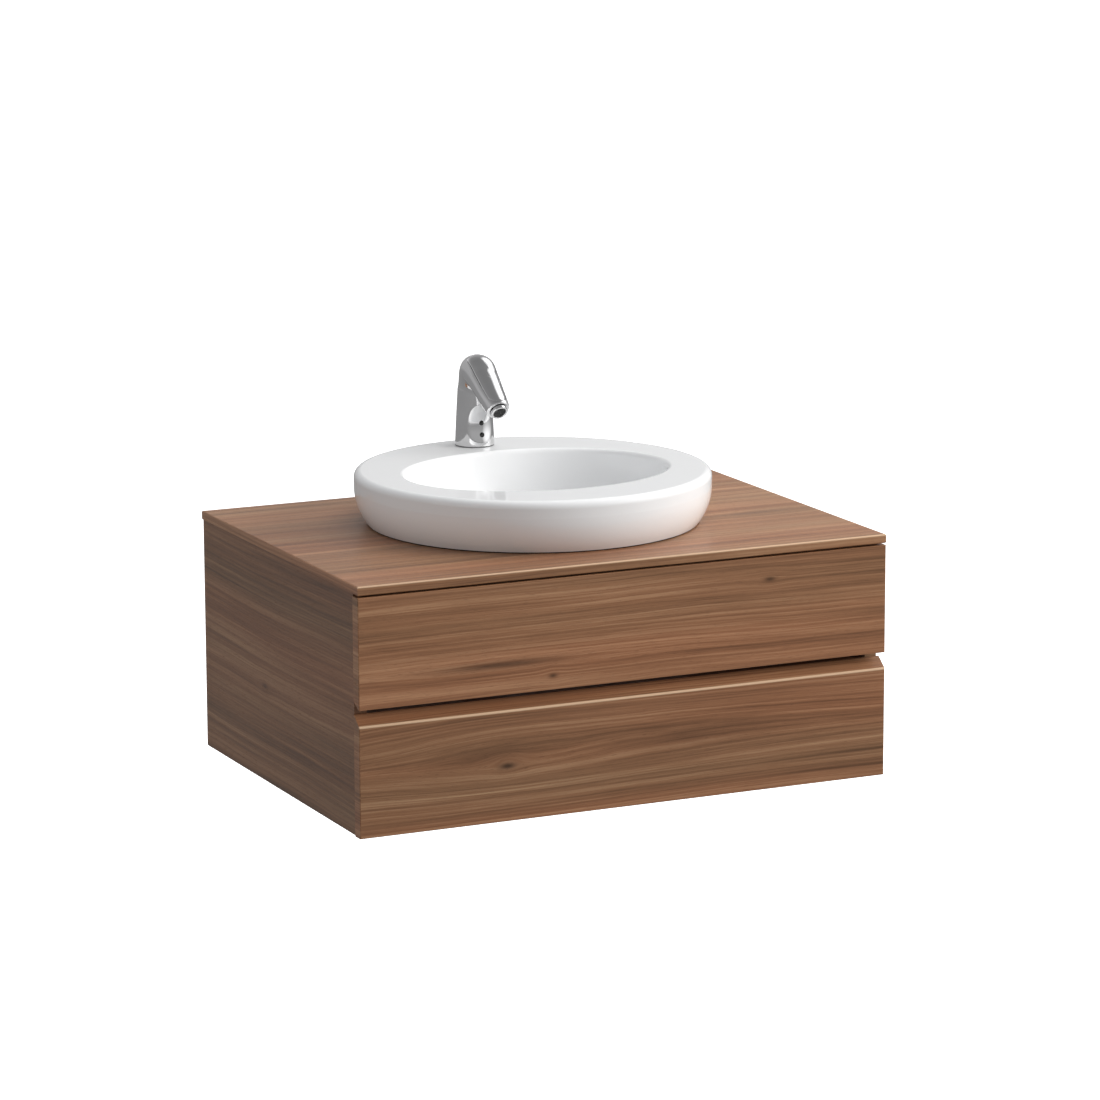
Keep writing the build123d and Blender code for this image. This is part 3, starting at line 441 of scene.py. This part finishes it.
gasketLow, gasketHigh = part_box("tap_gasket")
tapAxis = ((gasketLow[0] + gasketHigh[0]) / 2, (gasketLow[1] + gasketHigh[1]) / 2)
deckLevel, tapFoot = gasketLow[2], gasketHigh[2]


# x, reach and height in millimetres, to metres in the frame
def placeTap(points):
    points = np.asarray(points, dtype=float)
    return np.column_stack((tapAxis[0] + points[:, 0] / 1000, tapAxis[1] - points[:, 1] / 1000,
                            deckLevel + points[:, 2] / 1000))


# A smooth curve through the rows, cut into count steps
def alongSpine(rows, count):
    rows = np.array(rows)
    knots = np.concatenate(([0.0], np.cumsum(np.hypot(*np.diff(rows[:, :2], axis=0).T))))
    slopes = np.gradient(rows, knots, axis=0)
    at = np.linspace(0.0, knots[-1], count)
    span = np.clip(np.searchsorted(knots, at, side="right") - 1, 0, len(knots) - 2)
    width = (knots[span + 1] - knots[span])[:, None]
    t = ((at - knots[span])[:, None]) / width
    return ((2 * t**3 - 3 * t**2 + 1) * rows[span] + (t**3 - 2 * t**2 + t) * width * slopes[span]
            + (3 * t**2 - 2 * t**3) * rows[span + 1] + (t**3 - t**2) * width * slopes[span + 1])


# The larger of two depths, with a fillet of this width where they cross
def softMost(first, second, width):
    share = np.maximum(width - np.abs(first - second), 0.0) / width
    return np.maximum(first, second) + share**2 * width / 4


# Distance to one branch's skin, and the way out of it
def branchDepth(points, spine, flatTopped=False):
    ways = points[:, None, 1:] - spine[None, :, :2]
    reaches = np.sqrt(points[:, None, 0] ** 2 + (ways**2).sum(axis=2)) - spine[None, :, 2]
    nearest = reaches.argmin(axis=1)
    rows = np.arange(len(points))
    out = np.column_stack((points[:, 0], ways[rows, nearest]))
    out /= np.linalg.norm(out, axis=1)[:, None] + 1e-9
    runs = np.gradient(spine[:, :2], axis=0)
    runs /= np.linalg.norm(runs, axis=1)[:, None]
    over = (ways[rows, nearest] * np.column_stack((-runs[:, 1], runs[:, 0]))[nearest]).sum(axis=1)
    if flatTopped:
        radius, flat = spine[nearest, 2], spine[nearest, 3]
        topRadius = radius * tap["topRadius"]
        middle = radius - flat - topRadius
        top = np.hypot(points[:, 0], over - middle) - topRadius
        top = np.where(flat > 0.05, top, -9.0)  # no flat: far inside, so the round section holds
        return softMost(reaches[rows, nearest], top, tap["topBlend"]), out
    return reaches[rows, nearest], out


columnSpine = alongSpine(tap["column"], 90)
spoutSpine = alongSpine(tap["spout"], 240)
tipPoint = np.array(tap["spout"][-1][:2])
tipWay = np.array((cos(radians(tap["tipTilt"])), -sin(radians(tap["tipTilt"]))))


def facetReach(across, level):
    facet = tap["facet"]
    return facet["reach"] - across**2 / facet["across"] + (level - facet["level"]) ** 2 / facet["upright"]


# Distance to the whole tap's skin, and the way out of it
def tapSkin(points):
    column, columnOut = branchDepth(points, columnSpine)
    beyond = points[:, 1] - facetReach(points[:, 0], points[:, 2])
    column = softMost(column, beyond * tap["facet"]["lean"], tap["facet"]["blend"])
    spout, spoutOut = branchDepth(points, spoutSpine, flatTopped=True)
    spout = softMost(spout, (points[:, 1:] - tipPoint) @ tipWay, tap["tipRound"])
    width = tap["crotch"] * (1.0 - (columnOut * spoutOut).sum(axis=1)) + 0.01
    share = np.maximum(width - np.abs(column - spout), 0.0) / width
    out = np.where((column < spout)[:, None], columnOut, spoutOut)
    return np.minimum(column, spout) - share**2 * width / 4, out


def newPiece(name, points, faces, slot):
    mesh = bpy.data.meshes.new(name)
    mesh.from_pydata(placeTap(points).tolist(), [], faces)
    mesh.validate()
    piece = bpy.data.objects.new(name, mesh)
    bpy.context.scene.collection.objects.link(piece)
    mesh.materials.append(finishes[slot])
    return piece


# The casting: balls along the two spines, remeshed as one and pulled onto the tap's skin
def tapCasting():
    form = bmesh.new()
    for spine, step in ((columnSpine, 5), (spoutSpine, 8)):
        for reach, height, radius, _flat in spine[::step]:
            centre = Matrix.Translation((0.0, reach, height))
            bmesh.ops.create_icosphere(form, subdivisions=3, radius=radius, matrix=centre)
    mesh = bpy.data.meshes.new("tapBalls")
    form.to_mesh(mesh)
    form.free()
    ball = bpy.data.objects.new("tapBalls", mesh)
    bpy.context.scene.collection.objects.link(ball)
    remesh = ball.modifiers.new("remesh", "REMESH")
    remesh.mode, remesh.voxel_size = "VOXEL", tap["voxel"]
    points, faces = evaluated(ball)
    for turn in range(tap["pulls"]):
        depth, out = tapSkin(points)
        points = points - out * (depth * tap["pullShare"])[:, None]
        if turn in tap["relaxedAfter"]:
            points = relaxed(points, faces)
    return points, faces


# A thing's points and faces with its modifiers done. The thing itself goes
def evaluated(thing):
    graph = bpy.context.evaluated_depsgraph_get()
    mesh = bpy.data.meshes.new_from_object(thing.evaluated_get(graph))
    points = np.empty(len(mesh.vertices) * 3)
    mesh.vertices.foreach_get("co", points)
    faces = [tuple(face.vertices) for face in mesh.polygons]
    old = thing.data
    bpy.data.objects.remove(thing)
    bpy.data.meshes.remove(old)
    bpy.data.meshes.remove(mesh)
    return points.reshape(-1, 3), faces


# Each point moves half way to the middle of its neighbours
def relaxed(points, faces):
    total, count = np.zeros_like(points), np.zeros(len(points))
    for corners in (2, 3, 4, 5):
        block = np.array([face for face in faces if len(face) == corners])
        for step in range(corners if len(block) else 0):
            np.add.at(total, block[:, step], points[block[:, (step + 1) % corners]])
            np.add.at(count, block[:, step], 1)
    return points * 0.5 + 0.5 * total / count[:, None]


# The teardrop's edge about its middle: the hull of its two end circles
def coverOutline(spokes, inset):
    (topPlace, topRadius), (tipPlace, tipRadius) = tap["coverTop"], tap["coverTip"]
    turns = np.linspace(0.0, 2 * pi, spokes, endpoint=False)
    middle = (topPlace + tipPlace) / 2
    ways = np.column_stack((np.sin(turns), np.cos(turns)))
    # distance along each spoke to the hull, by halving
    near, far = np.zeros(spokes), np.full(spokes, 80.0)
    for _ in range(40):
        half = (near + far) / 2
        spots = ways * half[:, None] + (0.0, middle)
        span = topPlace - tipPlace
        lean = (topRadius - tipRadius) / span
        share = (spots[:, 1] - tipPlace) / span
        share = np.clip(share + np.abs(spots[:, 0]) * lean / sqrt(1 - lean**2) / span, 0.0, 1.0)
        radius = tipRadius + (topRadius - tipRadius) * share
        inside = np.hypot(spots[:, 0], spots[:, 1] - (tipPlace + span * share)) < radius
        near, far = np.where(inside, half, near), np.where(inside, far, half)
    if inset > 0:  # the gap opens toward the top
        topward = np.clip(ways[:, 1], 0.0, 1.0) ** 3
        near = near - inset - topward * (tap["coverTopGap"] - tap["coverGap"])
    return ways, near, middle


# A plate between two skins that follow the spout's top
def coverSlab(name, inset, low, high, dip):
    spokes, rings = tap["coverSpokes"], tap["coverRings"]
    ways, edge, middle = coverOutline(spokes, inset)
    slope = tap["slope"]
    tilt = radians(slope["tilt"])
    up = np.array((0.0, -cos(tilt), sin(tilt)))
    out = np.array((0.0, sin(tilt), cos(tilt)))
    start = np.array((0.0, slope["reach"], slope["height"]))
    shares = (np.arange(1, rings + 1) / rings) ** 0.8  # the rings close up toward the edge
    flat = [np.zeros((1, 2))] + [ways * (edge * share)[:, None] for share in shares]
    flat = np.concatenate(flat)
    base = start + flat[:, :1] * (1.0, 0.0, 0.0) + (flat[:, 1:] + middle) * up
    # how far the skin is over the plane, by halving
    near, far = np.full(len(base), -6.0), np.full(len(base), 40.0)
    for _ in range(26):
        half = (near + far) / 2
        depth, _out = tapSkin(base + out * half[:, None])
        near, far = np.where(depth < 0, half, near), np.where(depth < 0, far, half)
    ring = np.concatenate(([0], np.repeat(np.arange(1, rings + 1), spokes)))
    dips = np.where(ring == rings, dip, np.where(ring == rings - 1, dip * 0.25, 0.0))
    top = base + out * (near + high - dips)[:, None]
    bottom = base + out * (near + low)[:, None]
    count = len(base)
    faces = []
    for layer, flip in ((0, False), (count, True)):
        for spoke in range(spokes):
            after = (spoke + 1) % spokes
            loop = [(layer, layer + 1 + after, layer + 1 + spoke)]
            for step in range(rings - 1):
                here = layer + 1 + step * spokes
                loop.append((here + spoke, here + after, here + spokes + after, here + spokes + spoke))
            faces += [face if flip else face[::-1] for face in loop]
    last = 1 + (rings - 1) * spokes
    for spoke in range(spokes):
        after = (spoke + 1) % spokes
        faces.append((last + spoke, last + after, count + last + after, count + last + spoke))
    slab = newPiece(name, np.concatenate((top, bottom)), faces, "polished_chrome")
    faceOutward(slab)
    return slab


# A turned piece from (radius, distance along its axis) points that start and end on the axis
def turned(name, profile, centre, way, slot, segments=72):
    way = np.array((0.0, *way)) / np.hypot(*way)
    side, other = np.array((1.0, 0.0, 0.0)), np.array((0.0, -way[2], way[1]))
    turns = np.linspace(0.0, 2 * pi, segments, endpoint=False)
    centre = np.array((0.0, *centre))
    points, faces = [centre + way * profile[0][1]], []
    for radius, place in profile[1:-1]:
        points += [centre + way * place + radius * (cos(turn) * side + sin(turn) * other)
                   for turn in turns]
    points.append(centre + way * profile[-1][1])
    for spoke in range(segments):
        after = (spoke + 1) % segments
        faces.append((0, 1 + spoke, 1 + after))
        for step in range(len(profile) - 3):
            low = 1 + step * segments
            faces.append((low + spoke, low + segments + spoke, low + segments + after, low + after))
        last = 1 + (len(profile) - 3) * segments
        faces.append((last + spoke, len(points) - 1, last + after))
    piece = newPiece(name, np.array(points), faces, slot)
    faceOutward(piece)
    return piece


def faceOutward(piece):
    form = bmesh.new()
    form.from_mesh(piece.data)
    bmesh.ops.recalc_face_normals(form, faces=form.faces)
    form.to_mesh(piece.data)
    form.free()


def cutAway(piece, cutters):
    for cutter in cutters:
        cut = piece.modifiers.new(cutter.name, "BOOLEAN")
        cut.operation, cut.solver, cut.object = "DIFFERENCE", "EXACT", cutter
    graph = bpy.context.evaluated_depsgraph_get()
    mesh = bpy.data.meshes.new_from_object(piece.evaluated_get(graph))
    piece.modifiers.clear()
    old, piece.data = piece.data, mesh
    bpy.data.meshes.remove(old)
    for cutter in cutters:
        bpy.data.objects.remove(cutter)


def smoothTo(piece, angle):
    for face in piece.data.polygons:
        face.use_smooth = True
    piece.data.set_sharp_from_angle(angle=radians(angle))


def settle(piece, angle, node):
    smoothTo(piece, angle)
    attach(piece, "cabinet")
    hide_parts(node)


# The casting's foot is cut flat on the gasket and closed
def cutFoot(casting):
    form = bmesh.new()
    form.from_mesh(casting.data)
    everything = form.verts[:] + form.edges[:] + form.faces[:]
    cut = bmesh.ops.bisect_plane(form, geom=everything, plane_co=(0, 0, tapFoot),
                                 plane_no=(0, 0, -1), clear_outer=True)
    rim = [edge for edge in cut["geom_cut"] if isinstance(edge, bmesh.types.BMEdge)]
    bmesh.ops.contextual_create(form, geom=rim)
    bmesh.ops.recalc_face_normals(form, faces=form.faces)
    form.to_mesh(casting.data)
    form.free()


def makeWindow(count, level):
    radius = tap["windowRadius"]
    bore = radius + tap["windowPlay"]
    centre, way = (facetReach(0.0, level), level), (1.0, 0.0)
    hole = [(0, 6.0), (bore, 6.0), (bore, -5.0), (0, -5.0)]
    dome = [(0, -4.0), (radius, -4.0), (radius, -0.6), (radius * 0.94, -0.2),
            (radius * 0.6, 0.15), (0, 0.3)]
    lens = turned(f"sensorLens{count}", dome, centre, way, "dark_window", 48)
    settle(lens, 50, "sensor_windows")
    return turned(f"windowHole{count}", hole, centre, way, "polished_chrome")


def makeTap():
    casting = newPiece("tapCasting", *tapCasting(), "polished_chrome")
    cutFoot(casting)
    pocket = tap["pocketDepth"]
    (wide, ledge), (narrow, seat) = tap["recess"]
    recess = [(0, 8.0), (wide, 8.0), (wide, -ledge), (narrow, -ledge), (narrow, -seat), (0, -seat)]
    cutters = [coverSlab("coverPocket", 0.0, -pocket, 5.0, 0.0),
               turned("aeratorSeat", recess, tipPoint, tipWay, "polished_chrome")]
    cutters += [makeWindow(count, level) for count, level in enumerate(tap["windowLevels"])]
    cutAway(casting, cutters)
    cover = coverSlab("tapCoverPlate", tap["coverGap"], 0.1 - pocket, 0.0, tap["coverDip"])
    settle(casting, 32, "tap_body")
    settle(cover, 32, "tap_cover")
    print("tap cast:", len(casting.data.polygons), "faces")


makeTap()


# Stage: a white studio, with the light from the upper right
studio = {
    "floorLevel": -0.55,
    "floorSize": 90.0,
    "floorGlow": 1.0,
    # light from straight under (0) to straight over (1)
    "sky": [(0.0, 0.22), (0.46, 0.30), (0.54, 0.42), (0.75, 0.44), (0.93, 0.26), (1.0, 0.22)],
    "softboxes": [{"toward": (0.79, -0.53, 0.30), "edge": (0.84, 0.97), "light": 2.2},
                  {"toward": (0.68, 0.25, 0.69), "edge": (0.93, 0.99), "light": 4.5}],
    "lamps": {  # place, aim, size, power, colour
        "overhead": ((0.9, 0.5, 3.2), (0.0, 0.0, 0.3), 3.4, 52.0, (1.0, 1.0, 1.0)),
        "fromTheRight": ((3.4, -2.0, 1.9), (0.0, 0.0, 0.25), 2.6, 135.0, (1.0, 0.985, 0.96)),
        "fromTheLeft": ((-4.2, -1.0, 1.2), (0.0, 0.0, 0.25), 2.4, 16.0, (0.97, 0.985, 1.0)),
    },
}


def makeStage():
    floorMesh = bpy.data.meshes.new("floor")
    half = studio["floorSize"] / 2
    level = studio["floorLevel"]
    corners = [(-half, -half, level), (half, -half, level), (half, half, level), (-half, half, level)]
    floorMesh.from_pydata(corners, [], [(0, 1, 2, 3)])
    floor = bpy.data.objects.new("floor", floorMesh)
    bpy.context.scene.collection.objects.link(floor)
    material, tree, shader, where = startMaterial("paleFloor", (0.86, 0.86, 0.86), 0.7)
    shader.inputs["Emission Color"].default_value = (1.0, 1.0, 1.0, 1.0)
    shader.inputs["Emission Strength"].default_value = studio["floorGlow"]
    tree.links.new(spread(tree, noise(tree, where, 2.0), 0.3, 0.7, 0.65, 0.75), shader.inputs["Roughness"])
    floorMesh.materials.append(material)
    floor.visible_diffuse = floor.visible_glossy = False  # it neither lights nor mirrors in the vanity
    for name, (place, aim, size, power, colour) in studio["lamps"].items():
        light = bpy.data.lights.new(name, "AREA")
        light.shape = "DISK"
        light.size, light.energy, light.color = size, power, colour
        lamp = bpy.data.objects.new(name, light)
        lamp.location = place
        lamp.visible_glossy = False  # the sky's softbox is what shines in the chrome and the glaze
        lamp.rotation_euler = (Vector(aim) - Vector(place)).to_track_quat("-Z", "Y").to_euler()
        bpy.context.scene.collection.objects.link(lamp)


def makeSky():
    world = bpy.data.worlds.new("studioSky")
    bpy.context.scene.world = world
    world.use_nodes = True
    tree = world.node_tree
    tree.nodes.clear()
    way = put(tree, "TexCoord").outputs["Generated"]
    height = put(tree, "SeparateXYZ", {0: way}).outputs[2]
    steps = [(place, (light, light, light * 1.01)) for place, light in studio["sky"]]
    colour = ramp(tree, spread(tree, height, -1.0, 1.0), steps)
    strength = 1.0
    for box in studio["softboxes"]:
        dot = put(tree, "VectorMath", {0: way, 1: box["toward"]}, operation="DOT_PRODUCT")
        facing = dot.outputs["Value"]
        strength = maths(tree, "MULTIPLY_ADD", spread(tree, facing, *box["edge"]), box["light"], strength)
    back = put(tree, "Background", {"Color": colour, "Strength": strength})
    tree.links.new(back.outputs[0], put(tree, "OutputWorld").inputs[0])


# degrees, millimetres of lens, and metres
view = {"azimuth": 25.007, "down": 11.766, "roll": -0.206, "lens": 154.15, "distance": 5.854,
        "aim": (0.0176, 0.0068, 0.2651)}


def makeCamera():
    camera = bpy.data.cameras.new("camera")
    camera.lens, camera.sensor_width = view["lens"], 36.0
    camera.clip_end = 200.0
    turn, down = radians(view["azimuth"]), radians(view["down"])
    forward = Vector((sin(turn) * cos(down), cos(turn) * cos(down), -sin(down)))
    holder = bpy.data.objects.new("camera", camera)
    level = forward.to_track_quat("-Z", "Y").to_matrix()
    facing = level @ Matrix.Rotation(radians(view["roll"]), 3, "Z")
    stand = Vector(view["aim"]) - forward * view["distance"]
    holder.matrix_world = Matrix.Translation(stand) @ facing.to_4x4()
    bpy.context.scene.collection.objects.link(holder)
    bpy.context.scene.camera = holder
    bpy.context.scene.view_settings.view_transform = "Standard"


makeStage()
makeSky()
makeCamera()
print("studio and camera set")
